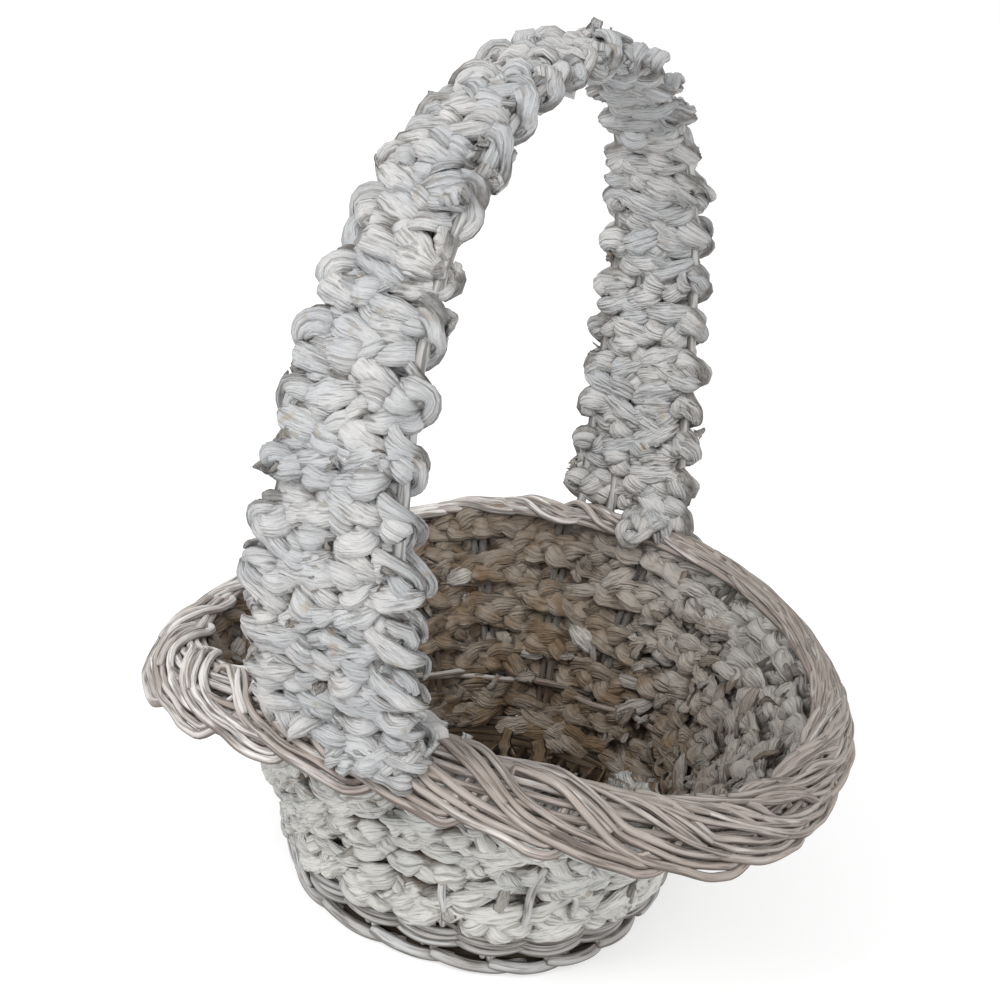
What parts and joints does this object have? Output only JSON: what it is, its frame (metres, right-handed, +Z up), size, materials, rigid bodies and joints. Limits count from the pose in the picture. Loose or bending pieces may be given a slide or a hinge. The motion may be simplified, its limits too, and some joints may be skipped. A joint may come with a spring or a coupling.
{
  "type": "flower girl basket",
  "caption": "Oval wedding flower basket woven from husk plait on willow stakes, with a plaited willow rim, a willow foot and a tall fixed arched handle.",
  "frame": {"origin": "middle of the whole basket's outline, on the surface it stands on", "axes": "+Z up, X along the rim's long axis, Y from the front foot of the handle to the back foot"},
  "size_m": [0.3234, 0.3004, 0.3885],
  "materials": {
    "painted_willow": "willow rods under thin off-white paint, pinkish wood showing through",
    "painted_husk": "three-strand plait of dried husk, painted off-white, matt, creased along the strands",
    "bowl_husk": "three-strand plait of dried husk, thinly painted, tan husk showing inside the bowl",
    "bare_willow": "unpainted brown willow in the base"
  },
  "bodies": {
    "root": {"foot_border": "painted_willow", "base_mat": "bare_willow", "base_stick_1": "bare_willow", "base_stick_2": "bare_willow", "base_stick_3": "bare_willow", "base_stick_4": "bare_willow", "base_stick_5": "bare_willow", "stake_pair_01": "painted_willow", "stake_pair_02": "painted_willow", "stake_pair_03": "painted_willow", "stake_pair_04": "painted_willow", "stake_pair_05": "painted_willow", "stake_pair_06": "painted_willow", "stake_pair_07": "painted_willow", "stake_pair_08": "painted_willow", "stake_pair_09": "painted_willow", "stake_pair_10": "painted_willow", "stake_pair_11": "painted_willow", "stake_pair_12": "painted_willow", "stake_pair_13": "painted_willow", "stake_pair_14": "painted_willow", "stake_pair_15": "painted_willow", "stake_pair_16": "painted_willow", "stake_pair_17": "painted_willow", "stake_pair_18": "painted_willow", "stake_pair_19": "painted_willow", "stake_pair_20": "painted_willow", "foot_wale_1": "painted_willow", "foot_wale_2": "painted_willow", "foot_wale_3": "painted_willow", "husk_row_1": "bowl_husk", "husk_row_2": "bowl_husk", "husk_row_3": "bowl_husk", "husk_row_4": "bowl_husk", "husk_row_5": "bowl_husk", "husk_row_6": "bowl_husk", "husk_row_7": "bowl_husk", "husk_row_8": "bowl_husk", "waist_wale": "painted_willow", "rim_strand_1": "painted_willow", "rim_strand_2": "painted_willow", "rim_strand_3": "painted_willow", "handle_rod_1": "painted_willow", "handle_rod_2": "painted_willow", "handle_rod_3": "painted_willow", "handle_rod_4": "painted_willow", "handle_weave_front": "painted_husk", "handle_weave_crown": "painted_husk", "handle_weave_back": "painted_husk"}
  },
  "joints": []
}
